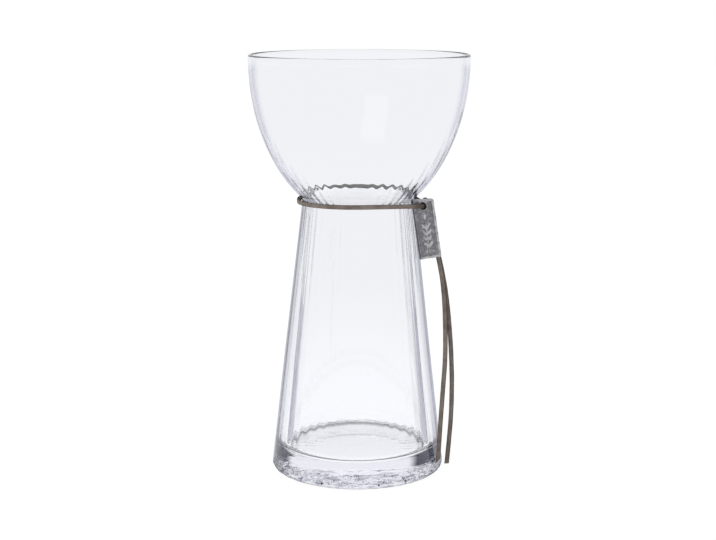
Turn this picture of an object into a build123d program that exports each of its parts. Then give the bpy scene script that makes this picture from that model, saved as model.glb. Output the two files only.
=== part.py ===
# Hyacinth forcing vase: a bulb sits in the open bowl, its roots reach through the
# neck into the water of the tall cone. A leather lace is tied round the neck and
# carries a small cast metal tag.
# Millimetres, +Z up. The origin is the middle of the foot, on the table.

import os
from math import acos, asin, atan, atan2, cos, hypot, pi, radians, sin, sqrt, tan

from build123d import *

os.makedirs("parts", exist_ok=True)

# The vase, outside
vase_height = 230.0
rim_radius = 60.0
rim_land = 2.0            # upright band just under the rim
neck_height = 151.9
neck_radius = 30.6
foot_radius = 48.3        # where the cone's side would meet the table
heel_round = 2.5
neck_round = 2.0
dish_radius = 33.0        # hollow under the foot, so that the vase can't rock
dish_depth = 0.8

# The vase, inside
rim_wall = 1.8
neck_wall = 4.3
foot_wall = 4.2
floor_thickness = 13.0
floor_round = 6.0
floor_bulge = 0.15        # the floor's rounding reaches this much past the ribbed wall
neck_blend = 1.6
lip_round = 1.1
overrun = 3.0             # every cutter stands this far out of what it cuts

# The optic ribs that the mould left on the inside
rib_count = 32
rib_height = 0.07

# The leather lace, a flat strip
lace_width = 2.4
lace_thickness = 1.4
lace_edge_round = 0.3
loop_gap = 1.2            # between the neck and the strip, which lies round it
loop_drop = 0.6           # the strip's middle lies this far below the neck
loop_sag = 0.8            # and hangs lower at the left
loop_turns = 15           # points along the stretch that lies round the neck

# The cast tag
tag_width = 12.0
tag_length = 32.0
tag_thickness = 2.0
tag_corner = 1.0
tag_border = 1.3
tag_recess = 0.5
tag_edge_round = 0.25
tag_tilt = 8.6            # degrees, its lower end swung away from the glass
hole_diameter = 3.6
hole_from_top = 3.3
hole_outward = 2.9        # the hole's middle lies this far outside the loop's circle
hole_drop = 2.4           # and this far below the neck
tag_middle_y = -16.0

# The sprig that is cast in relief on the tag
stem_width = 0.7
stem_length = 20.0
stem_foot = 1.3           # from the border to the stem
leaf_length = 4.2
leaf_width = 1.9
leaf_pairs = 4
leaf_slant = 38.0
relief_height = 0.35

# The knot behind the tag
knot_width = 6.0
knot_depth = 4.4
knot_height = 5.2
knot_round = 0.7
knot_gap = 0.4            # between the knot and the back of the tag
knot_shift = 1.1          # the knot's middle lies this far outside the hole's
knot_turn_slant = 14.0
bight_rise = 1.7          # the bight over the knot stands this far above it

# Heights that follow from the values above
bowl_middle = vase_height - rim_land
bowl_height = bowl_middle - neck_height
outer_reach = bowl_height / sqrt(1 - (neck_radius / rim_radius) ** 2)
rim_inside = rim_radius - rim_wall
neck_inside = neck_radius - neck_wall
inner_reach = bowl_height / sqrt(1 - (neck_inside / rim_inside) ** 2)
side_slope = (foot_radius - neck_radius) / neck_height
floor_edge = foot_radius - side_slope * floor_thickness - foot_wall
inner_slope = (floor_edge - neck_inside) / (neck_height - floor_thickness)

# The lace lies round the neck, and the tag's hole is where the lace passes through it
loop_radius = neck_radius + loop_gap + lace_thickness / 2
hole_x = loop_radius + hole_outward
hole_height = neck_height - hole_drop


def cone_inside(height):
    """Inner radius of the cone, ribs left out."""
    return neck_inside + inner_slope * (neck_height - height)


def bowl_inside(height):
    """Inner radius of the bowl, an ellipse that stands upright at the rim."""
    below = min(max(bowl_middle - height, 0), inner_reach)
    return rim_inside * sqrt(1 - (below / inner_reach) ** 2)


def inside_radius(height):
    """The wider of cone and bowl, with a soft waist between them."""
    cone = cone_inside(height)
    bowl = bowl_inside(height)
    if height > bowl_middle:
        return rim_inside
    return (cone + bowl + hypot(bowl - cone, neck_blend)) / 2


# The outside of the glass, solid right through. The bowl's outline is part of an
# ellipse that stands upright at the rim.
bowl_points = 9           # through which the outline's curve is drawn
bowl_foot_angle = asin(bowl_height / outer_reach)
bowl_outline = []
for step in range(bowl_points):
    angle = bowl_foot_angle * (1 - step / (bowl_points - 1))
    bowl_outline.append(
        (rim_radius * cos(angle), bowl_middle - outer_reach * sin(angle))
    )
bowl_foot_heading = (rim_radius * sin(bowl_foot_angle), outer_reach * cos(bowl_foot_angle))

with BuildPart() as glass:
    with BuildSketch(Plane.XZ):
        with BuildLine():
            ThreePointArc(
                (0, dish_depth),
                (dish_radius / 2, dish_depth * 3 / 4),
                (dish_radius, 0),
            )
            FilletPolyline(
                (dish_radius, 0), (foot_radius, 0), (neck_radius, neck_height),
                radius=heel_round,
            )
            Spline(*bowl_outline, tangents=[bowl_foot_heading, (0, 1)])
            Line((rim_radius, bowl_middle), (rim_radius, vase_height - lip_round))
            ThreePointArc(
                (rim_radius, vase_height - lip_round),
                (rim_radius - lip_round, vase_height),
                (rim_radius - 2 * lip_round, vase_height - lip_round),
            )
            Polyline(
                (rim_radius - 2 * lip_round, vase_height - lip_round),
                (0, vase_height - 2 * lip_round),
                (0, dish_depth),
            )
        make_face()
    revolve(axis=Axis.Z)
    waist = glass.edges().filter_by(GeomType.CIRCLE).sort_by(
        lambda edge: abs(edge.center().Z - neck_height) + abs(edge.radius - neck_radius)
    )[0]
    fillet(waist, radius=neck_round)

# The hollow for bulb and water: ribbed sections from the floor to the rim. Heights are
# shares of the cone and of the bowl, closer together where the wall turns at the neck.
floor_middle = floor_thickness + floor_round
rib_start = floor_middle + floor_round * side_slope
cone_shares = (0, 0.05, 0.12, 0.3, 0.55, 0.75, 0.88, 0.94, 0.975)
bowl_shares = (0, 0.03, 0.075, 0.14, 0.24, 0.36, 0.5, 0.66, 0.82, 1)
rib_rise_share = 0.12     # of the cone, where the ribs have grown to their full height
rib_fade_share = 0.66     # of the bowl, where they have died out
levels = [rib_start + (neck_height - rib_start) * share for share in cone_shares]
levels += [neck_height + bowl_height * share for share in bowl_shares]
levels.append(vase_height + overrun)


def rib_at(height):
    """Height of the ribs: they grow out of the floor and die out in the bowl."""
    up = (height - rib_start) / (neck_height - rib_start)
    if up < 1:
        return rib_height * min(up / rib_rise_share, 1)
    bowl_up = (height - neck_height) / bowl_height
    return rib_height * max(1 - bowl_up / rib_fade_share, 0)


with BuildPart() as hollow:
    for level in levels:
        ring = []
        for step in range(2 * rib_count):
            side = -1 if step % 2 else 1
            radius = inside_radius(level) + side * rib_at(level)
            angle = pi * step / rib_count
            ring.append((radius * cos(angle), radius * sin(angle)))
        with BuildSketch(Plane.XY.offset(level)):
            with BuildLine():
                Spline(*ring, periodic=True)
            make_face()
    loft()

# The rounded floor of the hollow. Its arc runs on past upright and crosses the wall.
floor_centre = cone_inside(rib_start) - floor_round * cos(atan(inner_slope)) + floor_bulge
floor_arc_start = -90.0
floor_arc_size = 130.0
with BuildPart() as floor_hollow:
    with BuildSketch(Plane.XZ):
        with BuildLine():
            corner = CenterArc(
                (floor_centre, floor_middle), floor_round, floor_arc_start, floor_arc_size
            )
            Polyline(corner @ 1, (0, (corner @ 1).Y), (0, floor_thickness), corner @ 0)
        make_face()
    revolve(axis=Axis.Z)

with glass:
    add(hollow.part, mode=Mode.SUBTRACT)
    add(floor_hollow.part, mode=Mode.SUBTRACT)

glass.part.label = "glass_vase"
export_step(glass.part, "parts/glass_vase.step")

# The tag's two faces, and the middle of the knot behind its hole
tag_back = tag_middle_y + tag_thickness / 2
tag_front = tag_middle_y - tag_thickness / 2
knot_middle = Vector(
    hole_x + knot_shift, tag_back + knot_gap + knot_depth / 2, hole_height
)


def touch_angle(point, side):
    """Direction from the axis in which a line from a point touches the loop's circle."""
    reach = hypot(point.X, point.Y)
    return atan2(point.Y, point.X) + side * acos(loop_radius / reach)


def loop_height_at(angle):
    """Height of the strip's middle: it sags a little where it faces away from the tag."""
    away = max(-cos(angle), 0)
    return neck_height - loop_drop - loop_sag * away ** 2


arc_share = 0.45          # of the shorter run, taken up by each corner's arc


def corner_radii(points):
    """The largest arc that each corner's two runs allow."""
    radii = []
    for before, corner, after in zip(points, points[1:], points[2:]):
        turn = radians((corner - before).get_angle(after - corner))
        shorter = min((corner - before).length, (after - corner).length)
        radii.append(arc_share * shorter / tan(turn / 2))
    return radii


# The lace round the neck: out of the knot, behind the neck, round the left and the
# front, and through the tag's hole back into the knot
back_start = knot_middle + Vector(lace_thickness / 2, lace_thickness / 2, 0)
strand_corner = Vector(
    hole_x - lace_thickness / 2, tag_front - lace_thickness, hole_height + lace_edge_round
)
strand_end = Vector(hole_x + lace_thickness / 2, knot_middle.Y - lace_thickness, hole_height)
angle_first = touch_angle(back_start, 1)
angle_last = touch_angle(strand_corner, -1) + 2 * pi
step_angle = (angle_last - angle_first) / loop_turns
corner_reach = loop_radius / cos(step_angle / 2)
loop_points = [back_start]
for turn in range(loop_turns):
    angle = angle_first + step_angle * (turn + 1 / 2)
    loop_points.append(
        Vector(corner_reach * cos(angle), corner_reach * sin(angle), loop_height_at(angle))
    )
loop_points += [strand_corner, strand_end]
loop_radii = corner_radii(loop_points)
loop_radii[-1] = lace_width  # the strip folds over the edge of the hole


def lace_strip(name, points, radii, across):
    """The flat strip of the lace, swept along its route with its width standing one way."""
    with BuildPart() as strip:
        with BuildLine() as route:
            FilletPolyline(*points, radius=radii)
        path = route.wire()
        heading = path % 0
        start = Plane(origin=points[0], x_dir=across.cross(heading), z_dir=heading)
        with BuildSketch(start) as section:
            RectangleRounded(lace_thickness, lace_width, lace_edge_round)
        sweep(path=path)
    ratio = strip.part.volume / (section.sketch.area * path.length)
    print(name, "length", round(path.length, 1), "radii", [round(radius, 1) for radius in radii],
          "volume over section times length", round(ratio, 4))
    strip.part.label = name
    export_step(strip.part, "parts/" + name + ".step")


lace_strip("neck_loop", loop_points, loop_radii, Vector(0, 0, 1))

# The two ends of the lace hang free from the knot, one behind the other at first.
# The inner one curls back towards the foot and stays in front of it.
inner_tail_route = [
    Vector(36.9, -13.2, 147.6),
    Vector(41.2, -13.3, 131.8),
    Vector(45.5, -14.0, 115.0),
    Vector(47.45, -15.3, 99.5),
    Vector(48.1, -16.8, 82.5),
    Vector(48.25, -18.2, 66.0),
    Vector(47.0, -19.6, 48.0),
    Vector(45.6, -20.9, 27.0),
    Vector(44.5, -21.8, 6.4),
]
outer_tail_route = [
    Vector(37.1, -11.2, 147.6),
    Vector(41.7, -11.3, 131.8),
    Vector(46.0, -11.9, 115.0),
    Vector(48.8, -12.6, 99.5),
    Vector(50.6, -13.4, 82.5),
    Vector(51.8, -14.0, 66.0),
    Vector(52.35, -14.6, 48.0),
    Vector(51.8, -15.2, 26.0),
    Vector(49.75, -15.8, 4.2),
]
lace_strip("inner_tail", inner_tail_route, corner_radii(inner_tail_route), Vector(1, 0, 0))
lace_strip("outer_tail", outer_tail_route, corner_radii(outer_tail_route), Vector(1, 0, 0))

# The knot: one turn of the strip drawn tight round its own strands, and a bight
# that stands up over it
knot_plane = Plane(origin=knot_middle, x_dir=(1, 0, 0), z_dir=(0, 0, 1))
turn_plane = knot_plane.rotated((0, knot_turn_slant, 0))
with BuildPart() as knot:
    with BuildSketch(knot_plane.offset(-knot_height / 2)):
        Ellipse(knot_width / 2 - lace_thickness / 2, knot_depth / 2 - lace_thickness / 4)
    extrude(amount=knot_height)
    chamfer(knot.edges().filter_by(Plane.XY), length=knot_round)
    with BuildSketch(turn_plane.offset(-lace_width / 2)):
        Ellipse(knot_width / 2, knot_depth / 2)
    extrude(amount=lace_width)
    with BuildSketch(Plane.YZ.offset(knot_middle.X - lace_width / 2)):
        with Locations((knot_middle.Y, knot_middle.Z + knot_height / 2)):
            Circle(bight_rise)
    extrude(amount=lace_width)
knot.part.label = "lace_knot"
export_step(knot.part, "parts/lace_knot.step")

# The tag hangs on the strip that passes through its hole, face to the front
tag_plane = Plane(
    origin=(hole_x, tag_front, hole_height),
    x_dir=(cos(radians(tag_tilt)), 0, sin(radians(tag_tilt))),
    z_dir=(0, -1, 0),
)
tag_middle_v = hole_from_top - tag_length / 2
field_width = tag_width - 2 * tag_border
field_top = hole_from_top - tag_border
field_low = hole_from_top - tag_length + tag_border
with BuildPart() as tag:
    with BuildSketch(tag_plane.offset(-tag_thickness)):
        with Locations((0, tag_middle_v)):
            RectangleRounded(tag_width, tag_length, tag_corner)
    extrude(amount=tag_thickness)
    fillet(tag.edges().filter_by(tag_plane), radius=tag_edge_round)
    with BuildSketch(tag_plane):
        with Locations((0, (field_top + field_low) / 2)):
            RectangleRounded(field_width, field_top - field_low, tag_corner)
    extrude(amount=-tag_recess, mode=Mode.SUBTRACT)
    # the sprig: a stem with pairs of leaves and one at its tip
    stem_low = field_low + stem_foot
    with BuildSketch(tag_plane.offset(-tag_recess)):
        with Locations((0, stem_low + stem_length / 2)):
            SlotOverall(stem_length, stem_width, rotation=90)
        for pair in range(leaf_pairs):
            leaf_foot = stem_low + stem_length * (pair + 1) / (leaf_pairs + 2)
            for side in (-1, 1):
                with Locations((0, leaf_foot)):
                    with Locations(Rotation(0, 0, 90 - side * leaf_slant)):
                        with Locations((leaf_length / 2, 0)):
                            Ellipse(leaf_length / 2, leaf_width / 2)
        with Locations((0, stem_low + stem_length)):
            Ellipse(leaf_width / 2, leaf_length / 2)
    extrude(amount=relief_height)
    with BuildSketch(tag_plane):
        Circle(hole_diameter / 2)
    extrude(amount=-tag_thickness, mode=Mode.SUBTRACT)
tag.part.label = "metal_tag"
export_step(tag.part, "parts/metal_tag.step")
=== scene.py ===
# %% [markdown]
# A hyacinth forcing vase: a bulb sits in the open bowl and its roots reach down into the
# water of the tall cone. Glass is all about what is seen through it, so this lesson is
# mostly about true wall thicknesses, soft ribs, and a studio whose light and dark the
# glass can bend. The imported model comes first. It gives every piece its body and place.

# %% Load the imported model, the fixed frame
from math import acos, atan, atan2, copysign, cos, degrees, hypot, pi, radians, sin, sqrt, tan

import bmesh
import bpy
from mathutils import Matrix, Vector, noise


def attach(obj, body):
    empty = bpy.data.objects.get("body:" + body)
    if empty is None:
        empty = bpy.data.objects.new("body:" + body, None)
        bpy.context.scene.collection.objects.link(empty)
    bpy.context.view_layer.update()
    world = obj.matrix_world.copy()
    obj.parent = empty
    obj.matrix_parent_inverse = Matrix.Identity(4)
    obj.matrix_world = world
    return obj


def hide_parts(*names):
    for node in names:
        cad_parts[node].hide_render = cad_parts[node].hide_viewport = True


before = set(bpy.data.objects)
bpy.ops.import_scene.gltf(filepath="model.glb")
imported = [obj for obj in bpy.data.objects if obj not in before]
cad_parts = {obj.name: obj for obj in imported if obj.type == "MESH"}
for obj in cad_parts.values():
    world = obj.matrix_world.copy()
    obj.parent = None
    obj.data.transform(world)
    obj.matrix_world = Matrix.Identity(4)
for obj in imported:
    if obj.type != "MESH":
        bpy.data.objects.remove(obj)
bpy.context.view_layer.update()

mm = 0.001

# %% [markdown]
# The camera stands where the photographer's did: a little over three vase heights away
# and slightly above the rim, looking down by eleven degrees. These values were fitted to
# the ellipses of rim and foot, and the small shift puts the vase's axis where it was.

# %% Camera
picture_width = 716
axis_pixel = 357.4
eye_distance = 783.4 * mm
eye_height = 265.97 * mm
look_down = radians(11.168)
sensor_width = 36
lens_length = 72.39

bpy.ops.object.camera_add(
    location=(0, -eye_distance, eye_height), rotation=(pi / 2 - look_down, 0, 0)
)
camera = bpy.context.object
camera.data.sensor_width = sensor_width
camera.data.lens = lens_length
camera.data.shift_x = (picture_width / 2 - axis_pixel) / picture_width
bpy.context.scene.camera = camera
print("camera at", tuple(round(value, 3) for value in camera.location))

# %% [markdown]
# The two ends of the leather lace hang free, so they are cords of a known length. Each
# has a smooth NURBS line whose control points are the places that the lace passes. An
# object without a bevel turns into a mesh that is just that line, and its points are
# what the flat strip is then built along.

# %% The routes of the two hanging ends
inner_route = [
    (36.9, -13.2, 147.6), (41.2, -13.3, 131.8), (45.5, -14.0, 115.0),
    (47.45, -15.3, 99.5), (48.1, -16.8, 82.5), (48.25, -18.2, 66.0),
    (47.0, -19.6, 48.0), (45.6, -20.9, 27.0), (44.5, -21.8, 6.4),
]
outer_route = [
    (37.1, -11.2, 147.6), (41.7, -11.3, 131.8), (46.0, -11.9, 115.0),
    (48.8, -12.6, 99.5), (50.6, -13.4, 82.5), (51.8, -14.0, 66.0),
    (52.35, -14.6, 48.0), (51.8, -15.2, 26.0), (49.75, -15.8, 4.2),
]
curve_fineness = 12           # points of the line between two control points
curve_order = 3               # each place on it is drawn by three control points


def smooth_line(route):
    """Points in metres on the NURBS line that a route of control points gives."""
    curve = bpy.data.curves.new("route", "CURVE")
    curve.dimensions = "3D"
    curve.resolution_u = curve_fineness
    spline = curve.splines.new("NURBS")
    spline.points.add(len(route) - 1)
    for point, place in zip(spline.points, route):
        point.co = (*(value * mm for value in place), 1)
    spline.order_u = curve_order
    spline.use_endpoint_u = True
    holder = bpy.data.objects.new("route", curve)
    bpy.context.collection.objects.link(holder)
    mesh = bpy.data.meshes.new_from_object(holder)
    points = [vertex.co.copy() for vertex in mesh.vertices]
    bpy.data.objects.remove(holder)
    bpy.data.meshes.remove(mesh)
    return points


def length_of(line):
    return sum((after - before).length for before, after in zip(line, line[1:]))


inner_line = smooth_line(inner_route)
outer_line = smooth_line(outer_route)
print("hanging ends", round(length_of(inner_line), 4), round(length_of(outer_line), 4))

# %% [markdown]
# The lace is one flat strip of leather, 2.4 mm wide and 1.4 mm thick. An extruded plane
# or a bevelled curve would turn about its own line as it likes. So the strip is built
# ring by ring, with a say in which way its width stands. A squarish oval is its section,
# slow noise makes its width uneven as a hand-cut lace is, and a UV map runs along and
# around it for the finish to follow.

# %% The strip of leather
lace_width = 2.4 * mm
lace_thickness = 1.4 * mm
section_sides = 16
section_squareness = 0.38     # power that turns an oval into a rounded oblong
strip_step = 0.8 * mm
unevenness = 0.05             # share of the width
unevenness_length = 7 * mm
thickness_seed = 5            # keeps the thickness from wandering with the width


def squared(value):
    """A sine or cosine, pushed out towards the corners of the section."""
    return copysign(abs(value) ** section_squareness, value)


class Line:
    """A line of points that can be asked for the place and heading at any length."""

    def __init__(self, points, closed=False):
        self.points = list(points) + ([points[0]] if closed else [])
        self.marks = [0.0]
        for before, after in zip(self.points, self.points[1:]):
            self.marks.append(self.marks[-1] + (after - before).length)
        self.length = self.marks[-1]
        self.closed = closed

    def at(self, along):
        if self.closed:
            along %= self.length
        along = min(max(along, 0), self.length)
        number = 0
        while number < len(self.points) - 2 and self.marks[number + 1] < along:
            number += 1
        share = (along - self.marks[number]) / (self.marks[number + 1] - self.marks[number])
        return self.points[number].lerp(self.points[number + 1], share)

    def heading(self, along):
        return (self.at(along + strip_step) - self.at(along - strip_step)).normalized()


def strip(name, points, width_way, seed, closed=False, width=lace_width,
          thickness=lace_thickness, end_cut=0.0):
    """A flat strip along a line. width_way(share) says which way its width stands."""
    line = Line(points, closed)
    rings = max(round(line.length / strip_step), 8)
    mesh_maker = bmesh.new()
    uv = mesh_maker.loops.layers.uv.new("along_and_around")
    made = []
    for ring in range(rings if closed else rings + 1):
        share = ring / rings
        corners = []
        for side in range(section_sides):
            turn = 2 * pi * side / section_sides
            out, up = squared(cos(turn)), squared(sin(turn))
            along = share * (line.length - end_cut * (1 + out) / 2)
            heading = line.heading(along)
            across = width_way(share)
            across = (across - heading * across.dot(heading)).normalized()
            facing = heading.cross(across)
            wander = noise.noise(Vector((along / unevenness_length, seed, out)))
            swell = noise.noise(Vector((along / unevenness_length, seed + thickness_seed, 0)))
            place = line.at(along)
            place = place + across * out * width / 2 * (1 + unevenness * wander)
            place = place + facing * up * thickness / 2 * (1 + unevenness * swell)
            corners.append(mesh_maker.verts.new(place))
        made.append(corners)
    for ring in range(rings):
        low, high = made[ring], made[(ring + 1) % len(made)]
        for side in range(section_sides):
            after = (side + 1) % section_sides
            face = mesh_maker.faces.new((low[side], low[after], high[after], high[side]))
            face.smooth = True
            for loop, (step, turn) in zip(
                face.loops, ((0, side), (0, side + 1), (1, side + 1), (1, side))
            ):
                loop[uv].uv = ((ring + step) * strip_step / mm, turn / section_sides)
    if not closed:
        mesh_maker.faces.new(reversed(made[0]))
        mesh_maker.faces.new(made[-1])
    bmesh.ops.recalc_face_normals(mesh_maker, faces=mesh_maker.faces)
    mesh = bpy.data.meshes.new(name)
    mesh_maker.to_mesh(mesh)
    mesh_maker.free()
    piece = bpy.data.objects.new(name, mesh)
    bpy.context.collection.objects.link(piece)
    return piece


slanting_cut = 3.1 * mm       # the inner end is cut off slantwise
square_cut = 0.6 * mm         # the outer end nearly square
tail_way_high = Vector((1, -0.30, 0))
tail_way_low = Vector((1, -0.48, 0))


def tail_way(share):
    """The tails show their face, and turn a little on their way down."""
    return tail_way_high.lerp(tail_way_low, share)


inner_tail = strip("lace_inner_tail", inner_line, tail_way, 1, end_cut=slanting_cut)
outer_tail = strip("lace_outer_tail", outer_line, tail_way, 2, end_cut=square_cut)
for tail, node, line in (
    (inner_tail, "inner_tail", inner_line), (outer_tail, "outer_tail", outer_line)
):
    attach(tail, "lace")
    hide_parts(node)
    print(tail.name, len(tail.data.polygons), "faces")

# %% [markdown]
# Round the neck the same strip stands upright, its width along the vase's axis. It comes
# out of the knot behind the tag, goes round the back, the left and the front, and folds
# through the hole of the tag into the knot again.

# %% The lace round the neck, in millimetres
neck_height = 151.9
neck_radius = 30.6
loop_radius = 32.5
loop_drop = 0.6               # below the narrowest height
loop_sag = 0.8                # lower again on its left
loop_turns = 15
hole = Vector((35.4, -17.0, 149.5))
tag_thickness = 2.0
strip_thickness = lace_thickness / mm
knot_middle = Vector((36.5, -12.4, 149.5))
fold_rise = 0.3
before_fold = 0.72            # share of the last stretch that the line runs straight
after_fold = 0.35


def touch_angle(point, side):
    """Direction in which a line from a point touches the loop's circle."""
    return atan2(point.y, point.x) + side * acos(loop_radius / hypot(point.x, point.y))


def loop_height(angle):
    return neck_height - loop_drop - loop_sag * max(-cos(angle), 0) ** 2


loop_start = knot_middle + Vector((strip_thickness / 2, strip_thickness / 2, 0))
fold = hole + Vector((-strip_thickness / 2, -strip_thickness, fold_rise))
loop_end = Vector((hole.x + strip_thickness / 2, knot_middle.y - strip_thickness, hole.z))
first_angle = touch_angle(loop_start, 1)
last_angle = touch_angle(fold, -1) + 2 * pi
turn_step = (last_angle - first_angle) / loop_turns
corner_reach = loop_radius / cos(turn_step / 2)
loop_route = [loop_start]
for turn in range(loop_turns):
    angle = first_angle + turn_step * (turn + 1 / 2)
    loop_route.append(
        Vector((corner_reach * cos(angle), corner_reach * sin(angle), loop_height(angle)))
    )
# two points close to the fold keep it as sharp as the edge of the hole makes it
loop_route.append(loop_route[-1].lerp(fold, before_fold))
loop_route.append(fold)
loop_route.append(fold.lerp(loop_end, after_fold))
loop_route.append(loop_end)

upright = Vector((0, 0, 1))
neck_loop = strip("lace_neck_loop", smooth_line(loop_route), lambda share: upright, 3)
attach(neck_loop, "lace")
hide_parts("neck_loop")
print(neck_loop.name, len(neck_loop.data.polygons), "faces")

# %% [markdown]
# The knot is drawn tight: two turns of the strip cross round the strands, and a small
# bight stands up over them and shows above the tag. Each turn is a closed strip of its
# own, and all are joined into one piece.

# %% The knot
knot_turns = [
    # half width, half depth, height, slant sideways, slant forwards, seed
    (2.3, 1.5, 0.9, 14, 6, 11),
    (2.25, 1.45, -1.1, -17, -8, 12),
]
turn_points = 28
bight_width = 1.9 * mm
knot_parts = []
for half_width, half_depth, height, sideways, forwards, seed in knot_turns:
    tilt = Matrix.Rotation(radians(sideways), 3, "Y")
    tilt = tilt @ Matrix.Rotation(radians(forwards), 3, "X")
    ring = []
    for step in range(turn_points):
        angle = 2 * pi * step / turn_points
        flat = tilt @ Vector((half_width * cos(angle), half_depth * sin(angle), 0))
        ring.append((knot_middle + flat + Vector((0, 0, height))) * mm)
    stand = tilt @ upright
    knot_parts.append(
        strip("knot_turn", ring, lambda share, stand=stand: stand, seed, closed=True)
    )

bight_route = [
    knot_middle + Vector(place) for place in (
        (-0.6, -1.2, 0.4), (-0.5, -1.5, 1.9), (-0.3, -1.2, 3.2),
        (0.2, 0.2, 3.6), (0.5, 1.3, 3.0), (0.6, 1.4, 1.8), (0.5, 1.0, 0.2),
    )
]
bight_way = Vector((1, 0.1, 0))
knot_parts.append(
    strip("knot_bight", smooth_line(bight_route), lambda share: bight_way, 13, width=bight_width)
)


def join(pieces, name):
    """Joins pieces into the first, under a new name."""
    bpy.ops.object.select_all(action="DESELECT")
    for piece in pieces:
        piece.select_set(True)
    bpy.context.view_layer.objects.active = pieces[0]
    bpy.ops.object.join()
    joined = bpy.context.object
    joined.name = name
    joined.data.name = name
    return joined


knot = join(knot_parts, "lace_tied_knot")
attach(knot, "lace")
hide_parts("lace_knot")
print(knot.name, len(knot.data.polygons), "faces")

# %% [markdown]
# The glass. On the real vase one gather of glass was blown into a ribbed mould, opened
# out, and its foot pressed flat. Its outline is a straight cone, a tight waist and part
# of an ellipse. The inside has an outline of its own: thin at the rim, thick at the neck,
# thicker still at the foot. Both are short formulas, so the wall is right everywhere.

# %% The outlines of the glass, in millimetres
vase_height = 230.0
rim_radius = 60.0
rim_land = 2.0
foot_radius = 48.3
heel_round = 2.5
waist_round = 0.8
dish_radius = 33.0
dish_depth = 0.8
rim_wall = 1.8
neck_wall = 4.5
foot_wall = 7.0
floor_thickness = 12.0
floor_round = 4.5
neck_blend = 1.6
lip_round = rim_wall / 2
vase_lean = 0.0062            # slope by which the bowl leans to the right
lean_from = 60.0              # height from which the vase leans

bowl_middle = vase_height - rim_land
bowl_height = bowl_middle - neck_height
outer_reach = bowl_height / sqrt(1 - (neck_radius / rim_radius) ** 2)
rim_inside = rim_radius - rim_wall
neck_inside = neck_radius - neck_wall
inner_reach = bowl_height / sqrt(1 - (neck_inside / rim_inside) ** 2)
side_slope = (foot_radius - neck_radius) / neck_height
floor_edge = foot_radius - side_slope * floor_thickness - foot_wall
inner_slope = (floor_edge - neck_inside) / (neck_height - floor_thickness)


def wider(cone, bowl, blend):
    """The wider of cone and bowl, with a soft waist between them."""
    return (cone + bowl + hypot(bowl - cone, blend)) / 2


def bowl_radius(height, widest, reach):
    below = min(max(bowl_middle - height, 0), reach)
    return widest * sqrt(1 - (below / reach) ** 2)


def outside(height):
    cone = foot_radius - side_slope * height
    bowl = bowl_radius(height, rim_radius, outer_reach)
    return min(wider(cone, bowl, waist_round), rim_radius)


def inside(height):
    cone = neck_inside + inner_slope * (neck_height - height)
    bowl = bowl_radius(height, rim_inside, inner_reach)
    return min(wider(cone, bowl, neck_blend), rim_inside)


for height in (30, 90, 150, 190, 225):
    print("wall at", height, round(outside(height) - inside(height), 2))

# %% [markdown]
# The glass is round, so rings of vertices can follow that outline: from under the foot
# outwards, up the outside, over the lip and down the inside to the middle of the floor.
# Rings lie close where the glass turns and far apart where it runs straight.

# %% Heights of the rings
columns = 144
round_points = 8              # of the heel and of the lip
corner_points = 9             # of the floor's corner
cone_start = 12               # the cone runs straight from here
waist_near = (140, 148)       # the waist begins between these heights
waist_past = (158, 170)       # and has ended between these
wide_step = 9                 # outside of the cone
inner_step = 5                # inside of the cone
bowl_step = 4
near_step = 2
heel_step = 1.5
waist_step = 0.7


def heights(start, end, step):
    """Evenly spaced heights from start towards end, without the end itself."""
    count = max(round(abs(end - start) / step), 1)
    return [start + (end - start) * number / count for number in range(count)]


def arc(centre, height, radius, start, end, count):
    """Points of a quarter or half turn, as radius and height."""
    points = []
    for number in range(count + 1):
        angle = radians(start + (end - start) * number / count)
        points.append((centre + radius * cos(angle), height + radius * sin(angle)))
    return points


side_angle = atan(side_slope)
heel_centre = foot_radius - heel_round / tan((pi / 2 - side_angle) / 2)
heel = arc(heel_centre, heel_round, heel_round, -90, degrees(side_angle), round_points)
heel_top = heel[-1][1]
under = []
for share in (0.1, 0.3, 0.5, 0.7, 0.9):
    under.append((share * dish_radius, dish_depth * (1 - share ** 2)))
under.append((dish_radius, 0.0))
under.append(((dish_radius + heel_centre) / 2, 0.0))

lip_low = vase_height - lip_round
rising = heights(heel_top + heel_step, cone_start, heel_step)
rising += heights(cone_start, waist_near[0], wide_step)
rising += heights(*waist_near, near_step)
rising += heights(waist_near[1], waist_past[0], waist_step)
rising += heights(*waist_past, near_step)
rising += heights(waist_past[1], lip_low, bowl_step)
lip = arc(rim_radius - lip_round, lip_low, lip_round, 0, 180, round_points)

corner_top = floor_thickness + floor_round
falling = heights(lip_low - 1, waist_past[1], bowl_step)
falling += heights(*reversed(waist_past), near_step)
falling += heights(waist_past[0], waist_near[1], waist_step)
falling += heights(*reversed(waist_near), near_step)
falling += heights(waist_near[0], corner_top + 1, inner_step)
floor_flat = inside(corner_top) - floor_round
corner = arc(floor_flat, corner_top, floor_round, 0, -90, corner_points)
floor = [(floor_flat * share, floor_thickness) for share in (0.85, 0.65, 0.45, 0.25, 0.08)]

outline = under + heel + [(outside(height), height) for height in rising]
outline += lip + [(inside(height), height) for height in falling] + corner + floor
print("rings", len(outline))

# %% [markdown]
# Extruding is how such a wall is drawn by hand: one ring is moved up by a step and a new
# wall follows it, and then the new ring is scaled to its radius. Where the vase leans,
# each step also goes a little to the right. Spin would be quicker but can't lean.

# %% Extrude the rings
def axis_at(height):
    """How far to the right the vase's axis stands at a height."""
    return vase_lean * max(height - lean_from, 0)


def close_ring():
    """Draws the selected ring to a point."""
    bpy.ops.mesh.extrude_region_move(TRANSFORM_OT_translate={"value": (0, 0, 0)})
    bpy.ops.mesh.merge(type="CENTER")


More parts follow.
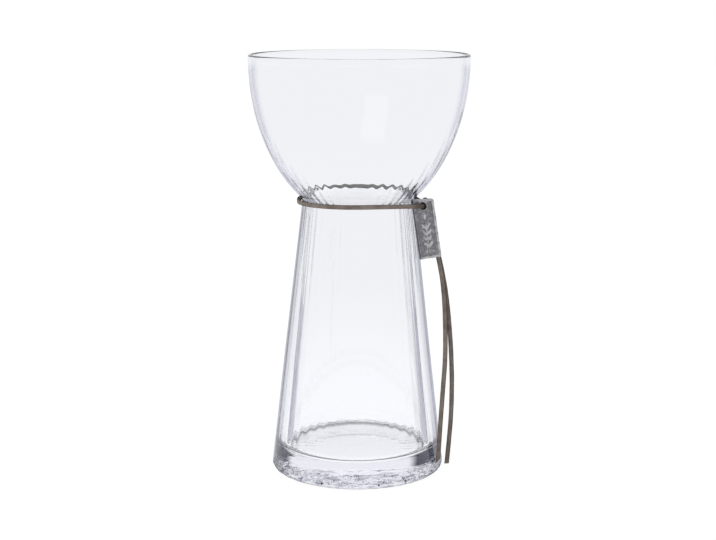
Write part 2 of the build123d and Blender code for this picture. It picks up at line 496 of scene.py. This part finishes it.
radius, height = outline[0]
bpy.ops.object.select_all(action="DESELECT")
bpy.ops.mesh.primitive_circle_add(
    vertices=columns, radius=radius * mm, fill_type="NOTHING",
    location=(axis_at(height) * mm, 0, height * mm),
)
glass = bpy.context.object
glass.name = glass.data.name = "blown_glass"
bpy.ops.object.transform_apply(location=True, rotation=False, scale=False)
bpy.ops.object.mode_set(mode="EDIT")
bpy.ops.mesh.select_mode(type="VERT")
close_ring()
bpy.ops.mesh.select_all(action="DESELECT")
mesh_maker = bmesh.from_edit_mesh(glass.data)
for vertex in mesh_maker.verts:
    vertex.select_set(hypot(vertex.co.x - axis_at(height) * mm, vertex.co.y) > radius * mm / 2)
mesh_maker.select_flush(True)
bmesh.update_edit_mesh(glass.data)
for next_radius, next_height in outline[1:]:
    rise = next_height - height
    sideways = axis_at(next_height) - axis_at(height)
    bpy.ops.mesh.extrude_region_move(
        TRANSFORM_OT_translate={"value": (sideways * mm, 0, rise * mm)}
    )
    scale = next_radius / radius
    bpy.ops.transform.resize(value=(scale, scale, 1))
    radius, height = next_radius, next_height
close_ring()
bpy.ops.mesh.select_all(action="SELECT")
bpy.ops.mesh.normals_make_consistent(inside=False)
bpy.ops.object.mode_set(mode="OBJECT")
print(glass.name, len(glass.data.vertices), "vertices before smoothing")

# %% [markdown]
# One level of subdivision rounds the outline. Then the whole wall is pushed about in
# code, as a sculptor would with a broad brush: the mould's ribs on the inside, which
# grow above the floor and die out in the bowl, the slow waves of blown glass, and the
# hammered skin of the heel.

# %% Smooth the glass, then push its wall about
def select_only(piece):
    bpy.ops.object.select_all(action="DESELECT")
    piece.select_set(True)
    bpy.context.view_layer.objects.active = piece


def finish_modifier(piece, kind, **settings):
    """Adds a modifier and applies it."""
    select_only(piece)
    modifier = piece.modifiers.new(kind, kind)
    for key, value in settings.items():
        setattr(modifier, key, value)
    bpy.ops.object.modifier_apply(modifier=modifier.name)


finish_modifier(glass, "SUBSURF", levels=1, render_levels=1)

rib_count = 44
rib_height = 0.09
rib_start = floor_thickness + 1.5
rib_low_share = 0.35          # of their height, low down above the floor
rib_grown = neck_height - 8
rib_fades = neck_height + 4
rib_gone = neck_height + 0.6 * bowl_height
rib_unevenness = 0.9
rib_bend = 0.5                # in radians, by which the ribs wander sideways
rib_patches = 4               # the smaller, the longer a rib stays as it is
rib_patch_height = 60
bend_patches = 2.5
bend_seed = 7
wave_height = 0.10
wave_length = Vector((22, 22, 45))
heel_rough_low = 2.5
heel_rough_top = 11.0
heel_rough = 0.38
heel_grain = 2.6
under_rough = 0.25
under_seed = 3


def ramp(value, low, high):
    """0 below low, 1 above high, and soft in between."""
    share = min(max((value - low) / (high - low), 0), 1)
    return share * share * (3 - 2 * share)


hammered = 0
for vertex in glass.data.vertices:
    x, y, z = vertex.co / mm
    x -= axis_at(z)
    reach = hypot(x, y)
    if reach < 1:
        continue
    angle = atan2(y, x)
    way = Vector((cos(angle), sin(angle), 0))
    push = 0.0
    if z > rib_start and reach < (inside(z) + outside(z)) / 2:
        uneven = 1 + rib_unevenness * noise.noise(way * rib_patches + upright * z / rib_patch_height)
        bend = rib_bend * noise.noise(way * bend_patches + upright * bend_seed)
        low_down = rib_low_share * ramp(z, rib_start, corner_top)
        tall = low_down + (1 - rib_low_share) * ramp(z, neck_height / 2, rib_grown)
        tall *= 1 - ramp(z, rib_fades, rib_gone)
        push += rib_height * tall * uneven * cos(rib_count * angle + bend)
        wave_place = [value / length for value, length in zip((x, y, z), wave_length)]
        push += wave_height * noise.noise(Vector(wave_place))
    elif z < heel_round / 8:
        lump = noise.noise(Vector((x, y, under_seed)) / heel_grain)
        vertex.co.z += under_rough * max(lump, 0) * mm
    elif z < heel_rough_top and reach > dish_radius:
        rough = heel_rough * (1 - ramp(z, heel_rough_low, heel_rough_top))
        push += rough * noise.noise(Vector((x, y, z)) / heel_grain)
        push += rough / 2 * noise.noise(Vector((x, y, z)) / (heel_grain / 2))
        hammered += 1
    vertex.co.x += push * x / reach * mm
    vertex.co.y += push * y / reach * mm
print("heel vertices pushed", hammered)

# %% [markdown]
# A few seeds, which are small bubbles, are caught in the heel. A bubble is a small
# sphere turned inside out, because the glass lies outside it. The faces of the glass are
# counted before the join, so that the seeds' own faces are known afterwards.

# %% Seeds in the heel
seeds = [
    # degrees from the front to the right, distance from the axis, height, radius
    (-24.5, 45.2, 2.2, 0.68), (-49.0, 45.0, 3.4, 0.44), (14.5, 45.4, 2.0, 0.60),
    (34.5, 45.0, 1.9, 0.72), (43.0, 44.8, 2.3, 0.54), (4.0, 44.4, 3.9, 0.36),
    (-8.5, 43.6, 2.6, 0.32), (66.0, 44.6, 3.2, 0.48), (-71.0, 44.2, 5.2, 0.44),
    (112.0, 44.0, 3.0, 0.52), (158.0, 44.8, 2.4, 0.60), (-128.0, 44.2, 4.0, 0.48),
    (-163.0, 43.0, 3.1, 0.40), (88.0, 43.8, 6.1, 0.36),
]
bubbles = []
for direction, reach, height, radius in seeds:
    angle = radians(direction)
    seat = Vector((reach * sin(angle) + axis_at(height), -reach * cos(angle), height))
    bpy.ops.mesh.primitive_ico_sphere_add(subdivisions=2, radius=radius * mm, location=seat * mm)
    bubble = bpy.context.object
    bpy.ops.object.transform_apply(location=True, rotation=False, scale=False)
    bubble.data.flip_normals()
    bubbles.append(bubble)
skin_faces = len(glass.data.polygons)
glass = join([glass] + bubbles, "blown_glass")
for polygon in glass.data.polygons:
    polygon.use_smooth = True
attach(glass, "vase")
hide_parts("glass_vase")
triangles = sum(len(polygon.vertices) - 2 for polygon in glass.data.polygons)
print(glass.name, triangles, "triangles")

# %% [markdown]
# The tag is a small cast plate. A cube is stretched to its size and its upright corners
# are rounded. Its front is inset for the raised border and pushed in. It is made at the
# origin, with the middle of its hole there, and hung in its place at the end.

# %% The plate of the tag, in millimetres from the middle of its hole
tag_width = 12.0
tag_length = 32.0
tag_corner = 1.0
tag_border = 1.3
tag_recess = 0.5
recess_slope = 0.15
tag_tilt = radians(8.6)
hole_radius = 1.8
hole_from_top = 3.3
hole_rim_set_off = 0.35       # of the raised ring's middle, from the hole and the face
hole_rim_round = 0.4
stem_width = 1.0
stem_length = 20.0
stem_foot = 1.3
leaf_length = 4.2
leaf_width = 1.9
leaf_pairs = 4
leaf_slant = radians(38)
relief_rise = 0.55
tag_middle = hole_from_top - tag_length / 2


def apply_place():
    bpy.ops.object.transform_apply(location=True, rotation=True, scale=True)


bpy.ops.mesh.primitive_cube_add(size=1, location=(0, tag_thickness / 2 * mm, tag_middle * mm))
tag = bpy.context.object
tag.scale = (tag_width * mm, tag_thickness * mm, tag_length * mm)
apply_place()
bpy.ops.object.mode_set(mode="EDIT")
bpy.ops.mesh.select_mode(type="EDGE")
bpy.ops.mesh.select_all(action="DESELECT")
mesh_maker = bmesh.from_edit_mesh(tag.data)
for edge in mesh_maker.edges:
    start, end = (vertex.co for vertex in edge.verts)
    edge.select_set(abs(start.y - end.y) > tag_thickness / 2 * mm)
bmesh.update_edit_mesh(tag.data)
bpy.ops.mesh.bevel(offset=tag_corner * mm, segments=5)
bpy.ops.mesh.select_mode(type="FACE")
bpy.ops.mesh.select_all(action="DESELECT")
mesh_maker = bmesh.from_edit_mesh(tag.data)
for face in mesh_maker.faces:
    face.select_set(face.normal.y < -0.9)
bmesh.update_edit_mesh(tag.data)
bpy.ops.mesh.inset(thickness=tag_border * mm, depth=0)
bpy.ops.mesh.inset(thickness=recess_slope * mm, depth=-tag_recess * mm)
bpy.ops.object.mode_set(mode="OBJECT")
print("tag plate", len(tag.data.polygons), "faces")

# %% [markdown]
# The sprig is a stem with pairs of leaves. Each is a sphere pressed flat, which lies half
# sunk in the field. The hole gets a raised ring, as a casting has where its core stood.

# %% The sprig in the tag's field, and the hole
field_low = hole_from_top - tag_length + tag_border
stem_low = field_low + stem_foot
sprig = []


def relief(width, length, middle, slant=0.0):
    """A low oval lump that lies in the field."""
    bpy.ops.mesh.primitive_uv_sphere_add(segments=20, ring_count=12, radius=1)
    lump = bpy.context.object
    lump.scale = (width / 2 * mm, relief_rise * mm, length / 2 * mm)
    lump.rotation_euler = (0, slant, 0)
    lump.location = Vector((middle[0], tag_recess, middle[1])) * mm
    apply_place()
    sprig.append(lump)


relief(stem_width, stem_length, (0, stem_low + stem_length / 2))
relief(leaf_width, leaf_length, (0, stem_low + stem_length))
for pair in range(leaf_pairs):
    leaf_foot = stem_low + stem_length * (pair + 1) / (leaf_pairs + 2)
    for side in (-1, 1):
        lift = leaf_length / 2
        middle = (side * lift * sin(leaf_slant), leaf_foot + lift * cos(leaf_slant))
        relief(leaf_width, leaf_length, middle, side * leaf_slant)

bpy.ops.mesh.primitive_cylinder_add(
    vertices=48, radius=hole_radius * mm, depth=3 * tag_thickness * mm,
    location=(0, tag_thickness / 2 * mm, 0), rotation=(pi / 2, 0, 0),
)
drill = bpy.context.object
bpy.ops.mesh.primitive_torus_add(
    major_radius=(hole_radius + hole_rim_set_off) * mm, minor_radius=hole_rim_round * mm,
    major_segments=48, minor_segments=12,
    location=(0, hole_rim_set_off * mm, 0), rotation=(pi / 2, 0, 0),
)
hole_rim = bpy.context.object
apply_place()
tag = join([tag, hole_rim] + sprig, "cast_tag")
cast_grain = 0.15 * mm
finish_modifier(tag, "REMESH", mode="VOXEL", voxel_size=cast_grain)
finish_modifier(tag, "BOOLEAN", operation="DIFFERENCE", object=drill, solver="EXACT")
bpy.data.objects.remove(drill)
finish_modifier(tag, "REMESH", mode="VOXEL", voxel_size=cast_grain)
finish_modifier(tag, "SMOOTH", factor=0.5, iterations=3)
print("cast skin", len(tag.data.polygons), "faces")

# %% [markdown]
# Remeshing has melted plate, ring and leaves into one skin with the soft corners of a
# casting. Noise of three sizes now makes that skin uneven: slow swells, small lumps and
# a few pits. Then the tag is turned by its tilt and moved to the hole's place.

# %% Roughen the tag's skin and hang it in its place
cast_lumps = 0.11             # millimetres
swell_size, swell_share = 2.8, 0.7
lump_size, lump_share = 0.9, 0.5
pit_size, pit_share = 1.3, 1.4
pit_start = 0.25              # only the peaks of the noise above this become pits
tag_skew = 1.4                # its top edge was cast a little askew
outwards = [vertex.normal.copy() for vertex in tag.data.vertices]
for vertex, outward in zip(tag.data.vertices, outwards):
    place = vertex.co / mm
    vertex.co.z += tag_skew * (0.5 - place.x / tag_width) * ramp(place.z, 0, hole_from_top) * mm
    swell = noise.noise(place / swell_size)
    lump = noise.noise(place / lump_size + Vector((9, 0, 0)))
    pit = max(noise.noise(place / pit_size + Vector((0, 31, 0))) - pit_start, 0)
    push = swell_share * swell + lump_share * lump - pit_share * pit
    vertex.co += outward * cast_lumps * push * mm
tag.rotation_euler = (0, -tag_tilt, 0)
tag.location = hole * mm
select_only(tag)
apply_place()
for polygon in tag.data.polygons:
    polygon.use_smooth = True
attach(tag, "tag")
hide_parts("metal_tag")

# %% [markdown]
# Finishes are written as sums. A small class wraps a socket, so that 1 - mask or
# grain * 0.3 adds its Math node by itself, and every other node comes from one method.

# %% Shader sums
class Number:
    """What a socket gives. A sum on it adds a Math node."""

    def __init__(self, tree, socket):
        self.tree, self.socket = tree, socket

    def maths(self, operation, *values):
        return self.tree.node("ShaderNodeMath", {"operation": operation}, dict(enumerate(values)))

    def __add__(self, other):
        return self.maths("ADD", self, other)

    def __radd__(self, other):
        return self.maths("ADD", other, self)

    def __sub__(self, other):
        return self.maths("SUBTRACT", self, other)

    def __rsub__(self, other):
        return self.maths("SUBTRACT", other, self)

    def __mul__(self, other):
        return self.maths("MULTIPLY", self, other)

    def __rmul__(self, other):
        return self.maths("MULTIPLY", other, self)

    def __abs__(self):
        return self.maths("ABSOLUTE", self)


class Tree:
    """The nodes of one finish."""

    def __init__(self, owner):
        owner.use_nodes = True
        self.nodes = owner.node_tree.nodes
        self.links = owner.node_tree.links
        self.nodes.clear()

    def node(self, kind, settings=None, values=None, out=0):
        """Adds a node: its settings first, then the values or links of its sockets."""
        made = self.nodes.new(kind)
        for key, value in (settings or {}).items():
            setattr(made, key, value)
        for key, value in (values or {}).items():
            socket = made.inputs[key]
            if isinstance(value, Number):
                self.links.new(value.socket, socket)
            else:
                socket.default_value = value
        return Number(self, made.outputs[out]) if len(made.outputs) else made

    def between(self, value, low, high, start=0.0, end=1.0):
        """Carries a number softly from one range to another, held at both ends."""
        return self.node(
            "ShaderNodeMapRange", {"interpolation_type": "SMOOTHSTEP"},
            {0: value, 1: low, 2: high, 3: start, 4: end},
        )

    def blend(self, share, one, other):
        """Mixes two colours."""
        one, other = (
            colour if isinstance(colour, Number) else (*colour, 1) for colour in (one, other)
        )
        return self.node("ShaderNodeMix", {"data_type": "RGBA"}, {0: share, 6: one, 7: other}, 2)

    def stretched(self, vector, scale):
        return self.node("ShaderNodeMapping", {}, {"Vector": vector, "Scale": scale})

    def light_path(self, out):
        return self.node("ShaderNodeLightPath", out=out)

    def place(self, out="Object"):
        return self.node("ShaderNodeTexCoord", out=out)

    def split(self, vector):
        return [self.node("ShaderNodeSeparateXYZ", {}, {0: vector}, axis) for axis in range(3)]

    def speckle(self, vector, size, detail=3.0, roughness=0.5):
        """Noise whose lumps are of one size, in metres."""
        return self.node(
            "ShaderNodeTexNoise", {},
            {"Vector": vector, "Scale": 1 / size, "Detail": detail, "Roughness": roughness},
        )

    def bump(self, height, depth):
        return self.node(
            "ShaderNodeBump", {}, {"Height": height, "Distance": depth, "Strength": 1.0}
        )

    def surface(self, shader, **inside):
        self.node("ShaderNodeOutputMaterial", {}, {"Surface": shader, **inside})


def new_finish(name, *pieces):
    """A new material for these pieces, in place of what they had."""
    material = bpy.data.materials.new(name)
    for piece in pieces:
        piece.data.materials.clear()
        piece.data.materials.append(material)
    return Tree(material)


print("shader sums ready")

# %% [markdown]
# The glass is one material, but its parts differ: the heel is hammered, the thick cone
# gets deeper painted shade at its edges than the thin bowl, and the rim hardly any. So
# the first step makes masks. Each says with a number from 0 to 1 where a part lies, from the
# height and from the distance to the axis, which keeps the outside apart from the inside.

# %% Glass: where each part of its skin lies
tree = new_finish("clear_glass", glass)
place = tree.place()
x, y, z = tree.split(place)
from_axis = x.maths("SQRT", x * x + y * y)
outer_skin = tree.between(from_axis, 42.5 * mm, 45.5 * mm)
dented = tree.between(z, 1.5 * mm, 10.0 * mm, 1.0, 0.0) * outer_skin
shaded = tree.between(z, 5.0 * mm, 11.0 * mm, 1.0, 0.0) * outer_skin
off_floor = tree.between(z, 12.2 * mm, 13.5 * mm, 0.4, 1.0)
off_floor = off_floor.maths("MAXIMUM", off_floor, outer_skin)
below_rim = tree.between(z, 221 * mm, 227 * mm, 1.0, 0.1)
on_cone = tree.between(z, 140 * mm, 170 * mm, 1.0, 0.0)
print("glass masks", len(tree.nodes), "nodes")

# %% [markdown]
# A wall that is seen nearly edge on looks deep blue-violet, and its very outline darker
# still. This is painted shade in the glass's colour: a Layer Weight node knows how far the
# skin is turned away, so it darkens and tints those places and leaves the middle of the
# vase clear. It works from every side. The floor is always seen aslant, so it gets only a
# part of the painted shade.

# %% Glass: painted shade where it is seen edge on
neck_low = 135 * mm
neck_high = 180 * mm
# painted shade for walls seen edge on: in the bowl, on the cone, and at the outline
bowl_edge_shade = (0.27, 0.27, 0.43)
cone_edge_shade = (0.045, 0.05, 0.11)
outline_shade = (0.05, 0.05, 0.10)

turned_away = tree.node("ShaderNodeLayerWeight", {}, {"Blend": 0.5}, "Facing")
edge_shade_start = tree.between(z, neck_low, neck_high, 0.50, 0.62)
edge_shade_full = tree.between(z, neck_low, neck_high, 0.82, 0.93)
# how much painted edge shade each place of the skin gets
edge_shade = tree.between(turned_away, edge_shade_start, edge_shade_full) * off_floor * below_rim
wall_edge_shade = tree.blend(on_cone, bowl_edge_shade, cone_edge_shade)
at_outline = tree.between(turned_away, 0.86, 0.99)
edge_shade_colour = tree.blend(at_outline, wall_edge_shade, outline_shade)
skin_with_edge_shade = tree.blend(edge_shade, (1, 1, 1), edge_shade_colour)
print("glass tint", len(tree.nodes), "nodes")

# %% [markdown]
# The skin is smooth, but slow waves run over it, and it is a little dull in places. The
# heel alone has fine dents in its bump, and streaks and grains of shade in its colour,
# where dents too small to model would turn the light away. The faint blue-violet of the
# thick foot is an absorption inside the glass, the same everywhere, so thin walls stay
# clear. It goes into the Volume socket.

# %% Glass: waves, dents and shade, and the whole finish
shade_colour = (0.09, 0.09, 0.15)
inside_colour = (0.815, 0.826, 0.885, 1)
inside_density = 5.0
glass_bend = 1.5              # its index of refraction
skin_depth = 0.12 * mm

waves = tree.speckle(place, 26 * mm, 1.0)
hammer = tree.speckle(place, 1.1 * mm, 2.0)
dents = tree.speckle(place, 3.0 * mm, 1.0)
skin = waves * 0.8 + (hammer * 1.7 + dents * 3.2) * dented
smudge = tree.between(tree.speckle(place, 18 * mm, 2.0), 0.5, 0.8, 0.0, 0.03)
streaks = tree.speckle(tree.stretched(place, (1.0, 1.0, 4.5)), 9 * mm)
grains = tree.speckle(place, 1.5 * mm, 1.0)
shade = tree.between(streaks, 0.52, 0.60) * 0.7 + tree.between(grains, 0.57, 0.64) * 0.6
tree.surface(
    tree.node("ShaderNodeBsdfPrincipled", {}, {
        "Base Color": tree.blend(shade * shaded, skin_with_edge_shade, shade_colour),
        "Roughness": smudge,
        "IOR": glass_bend,
        "Transmission Weight": 1.0,
        "Normal": tree.bump(skin, skin_depth),
    }),
    Volume=tree.node("ShaderNodeVolumeAbsorption", {}, {
        "Color": inside_colour, "Density": inside_density,
    }),
)
print("glass nodes", len(tree.nodes))

# %% [markdown]
# A seed bends and mirrors so much light in so small a place that it shows as a dark
# speck. That dark speck is painted shade in its skin's colour, a second material on the
# same piece.

# %% Seeds in the glass
seed_finish = bpy.data.materials.new("glass_seeds")
tree = Tree(seed_finish)
tree.surface(tree.node("ShaderNodeBsdfPrincipled", {}, {
    # painted shade: the dark speck of a seed
    "Base Color": (0.03, 0.03, 0.07, 1),
    "Roughness": 0.1,
    "IOR": glass_bend,
    "Transmission Weight": 1.0,
}))
glass.data.materials.append(seed_finish)
seed_faces = glass.data.polygons[skin_faces:]
for polygon in seed_faces:
    polygon.material_index = 1
print("faces of seeds", len(seed_faces))

# %% [markdown]
# The leather is a dull grey-brown. Its face is grained and a little paler where it is
# rubbed. Painted shade darkens its cut edges, its inner side and the part that passes the
# hole of the tag. The UV map says where the sides are: the cut edges lie at the start
# and the middle of the way round, the inner side at three quarters of it.

# %% Leather
worn_colour = (0.245, 0.203, 0.178)
fresh_colour = (0.150, 0.118, 0.098)
# painted shade for the inner side and for the cut edges
inner_side_shade = (0.050, 0.044, 0.044)
cut_edge_shade = (0.045, 0.030, 0.023)

tree = new_finish("leather_lace", neck_loop, knot, inner_tail, outer_tail)
place = tree.place()
strip_place = tree.place("UV")
_, around, _ = tree.split(strip_place)
# where painted shade darkens the cut edges and the inner side
edge = tree.between(around.maths("PINGPONG", around, 0.25), 0.06, 0.115, 1.0, 0.0)
shaded_inner_side = tree.between(abs(around - 0.75), 0.12, 0.24, 0.75, 0.0)
from_hole = tree.node(
    "ShaderNodeVectorMath", {"operation": "DISTANCE"}, {0: place, 1: tuple(hole * mm)}, 1
)
# painted shade where the strip passes the hole of the tag
shade_at_hole = tree.between(from_hole, 2.0 * mm, 10.0 * mm, 0.8, 0.0)
rubbed = tree.speckle(place, 4.5 * mm)
grain = tree.speckle(place, 0.5 * mm, 3.0, 0.6)
fibre = tree.speckle(tree.stretched(strip_place, (0.35, 26.0, 1.0)), 1.0, 2.0)

face_share = tree.between(rubbed * 0.6 + grain * 0.4, 0.35, 0.65)
face_colour = tree.blend(face_share, fresh_colour, worn_colour)
face_colour = tree.blend(shaded_inner_side, face_colour, inner_side_shade)
# painted shade: the cut edges and the strip near the hole
painted_shade_share = edge.maths("MAXIMUM", edge, shade_at_hole)
tree.surface(tree.node("ShaderNodeBsdfPrincipled", {}, {
    "Base Color": tree.blend(painted_shade_share, face_colour, cut_edge_shade),
    "Roughness": 0.62 + 0.2 * grain,
    "Specular IOR Level": 0.35,
    "Normal": tree.bump(grain * 0.7 + fibre * 0.5, 0.10 * mm),
}))
print("leather nodes", len(tree.nodes))

# %% [markdown]
# The tag is a pewter-grey casting. Its low places kept a dark skin, its raised border
# and leaves are rubbed lighter. How deep a place lies is its distance behind the front,
# which is the way that the tag faces, so Y tells it. The edge towards the glass gets
# painted shade and is darkest. It stands aslant, so a Mapping node turns the coordinates
# upright first.

# %% Cast metal
rubbed_metal = (0.56, 0.555, 0.56)
stained_metal = (0.21, 0.207, 0.217)
# painted shade on the edge towards the glass
glass_side_shade = (0.06, 0.057, 0.075)

tree = new_finish("cast_metal", tag)
place = tree.place()
_, y, _ = tree.split(place)
depth = tree.between(y, hole.y * mm, (hole.y + tag_recess) * mm)
lumps = tree.speckle(place, 1.6 * mm, 4.0, 0.6)
grit = tree.speckle(place, 0.35 * mm, 2.0)
turned_upright = tree.node("ShaderNodeMapping", {"vector_type": "TEXTURE"}, {
    "Vector": place, "Location": tuple(hole * mm), "Rotation": (0, -tag_tilt, 0),
})
across, _, _ = tree.split(turned_upright)
# where that painted shade lies, near the edge towards the glass
shade_near_glass = tree.between(across, -5.4 * mm, -4.5 * mm, 1.0, 0.0)
stain = tree.between(lumps * 0.9 + depth * 0.22, 0.34, 0.70)
metal_colour = tree.blend(stain, rubbed_metal, stained_metal)
tree.surface(tree.node("ShaderNodeBsdfPrincipled", {}, {
    "Base Color": tree.blend(shade_near_glass * 0.85, metal_colour, glass_side_shade),
    "Metallic": 0.85,
    "Roughness": 0.40 + 0.25 * lumps,
    "Normal": tree.bump(lumps * 0.5 + grit * 0.5, 0.12 * mm),
}))
print("metal nodes", len(tree.nodes))

# %% [markdown]
# The studio. Round the vase all is white, a little less so for light that the glass has
# bent, which gives the clear glass its faint tone. The solid heel needs something dark
# to mirror at its ends. So light that was mirrored inside the glass meets soft dark
# strips at the sides of the room, low above the horizon. Light Path nodes tell such
# light: it passed the skin of the glass twice and was mirrored on its way. All other
# light misses the strips, which keeps bowl and cone clear.

# %% The world
side_strip = (65.0, 18.0)     # middle and half width, in degrees from the front or back
left_strip = (42.0, 8.0)
strip_edge = 9.0
strip_colour = (0.02, 0.02, 0.05)
bent_white = (0.90, 0.907, 0.945)
in_degrees = 180 / pi
two_turns = 720               # added to an angle so that it is never below zero

world = bpy.data.worlds.new("studio")
bpy.context.scene.world = world
tree = Tree(world)


def bent_light(tree):
    """1 for light that glass or gloss has turned aside."""
    glossy = tree.light_path("Is Glossy Ray")
    return glossy.maths("MAXIMUM", glossy, tree.light_path("Is Transmission Ray"))


def strips(tree, x, y, middle, half):
    """1 inside the dark strips, which stand the same way in all four quarters."""
    bearing = x.maths("ARCTAN2", x, y) * in_degrees + two_turns
    quarter = bearing.maths("PINGPONG", bearing, 90)
    return tree.between(abs(quarter - middle), half, half + strip_edge, 1.0, 0.0)


x, y, z = tree.split(tree.place("Generated"))
diffuse = tree.light_path("Is Diffuse Ray")
# what lights the leather comes a little more from above and from the left
from_left = 0.80 + 0.22 * z - 0.18 * x
strength = from_left * diffuse + (1 - diffuse)

rise = z.maths("ARCSINE", z) * in_degrees
low_band = tree.between(rise, 8.0, 12.0) * tree.between(rise, 23.0, 29.0, 1.0, 0.0)
on_left = x.maths("LESS_THAN", x, 0.0)
dark = strips(tree, x, y, *side_strip) + strips(tree, x, y, *left_strip) * on_left
passed = tree.light_path("Transmission Depth")
twice = passed.maths("COMPARE", passed, 2.0, 0.5)
mirrored = tree.light_path("Glossy Depth")
mirrored = mirrored.maths("GREATER_THAN", mirrored, 0.5)
dark = dark * low_band * mirrored * twice * tree.light_path("Is Transmission Ray")

white = tree.blend(bent_light(tree), (1, 1, 1), bent_white)
tree.node("ShaderNodeOutputWorld", {}, {
    "Surface": tree.node("ShaderNodeBackground", {}, {
        "Color": tree.blend(dark, white, strip_colour), "Strength": strength,
    }),
})
print("world nodes", len(tree.nodes))

# %% [markdown]
# The table is white. What the camera sees of it is nearly all its own white, so that
# only a breath of the vase's shadow is left. Bent light sees a white that dims slowly
# with distance, and the shaded ring on which the foot stands.

# %% The table
table_size = 8
near_white, far_white = 1.02, 0.92
contact_radius = 45.5 * mm
contact_dark = 0.70
own_white = 1.06
own_share = 0.86              # what is left of the view shows the shadow

bpy.ops.object.select_all(action="DESELECT")
bpy.ops.mesh.primitive_plane_add(size=table_size, location=(0, 0, 0))
table = bpy.context.object
table.name = "white_table"
tree = new_finish("white_table", table)
x, y, _ = tree.split(tree.place())
away = x.maths("SQRT", x * x + y * y)
camera_sees = tree.light_path("Is Camera Ray")
bent = bent_light(tree)
near = tree.between(away, 50 * mm, 500 * mm, near_white, far_white)
contact = tree.between(abs(away - contact_radius), 2 * mm, 7 * mm, 1.0, 0.0)
glow = near * (1 - contact_dark * contact) * bent + camera_sees * own_white
tint = tree.blend(bent, (1, 1, 1), (0.955, 0.962, 1))
tree.surface(tree.node("ShaderNodeMixShader", {}, {
    0: bent.maths("MAXIMUM", bent, camera_sees * own_share),
    1: tree.node("ShaderNodeBsdfDiffuse", {}, {"Color": (0.92, 0.92, 0.92, 1)}),
    2: tree.node("ShaderNodeEmission", {}, {"Color": tint, "Strength": glow}),
}))
print("table nodes", len(tree.nodes))

# %% [markdown]
# One soft box stands behind the camera, to its left and above it. It gives the leather
# and the tag a lit side, and the far wall of the bowl mirrors it as a pale window. Light
# crosses many walls of glass on its way, and light that is cut short turns black. So it
# may bounce often, which keeps the rim and the neck clear.

# %% The soft box, and how often light may bounce
box_distance = 1.3
box_way = Vector((-0.33, -0.80, 0.55)).normalized()
box_size = 0.62
box_power = 0.5
aim = Vector((0, 0, 190 * mm))
glass_bounces = 24
mirror_bounces = 16

bpy.ops.object.light_add(type="AREA", location=aim + box_way * box_distance)
soft_box = bpy.context.object
soft_box.data.shape = "SQUARE"
soft_box.data.size = box_size
soft_box.data.energy = box_power
soft_box.rotation_euler = box_way.to_track_quat("Z", "Y").to_euler()
bpy.context.scene.view_settings.view_transform = "Standard"
light_paths = bpy.context.scene.cycles
light_paths.max_bounces = glass_bounces
light_paths.transmission_bounces = glass_bounces
light_paths.glossy_bounces = mirror_bounces
print("soft box at", tuple(round(value, 2) for value in soft_box.location))
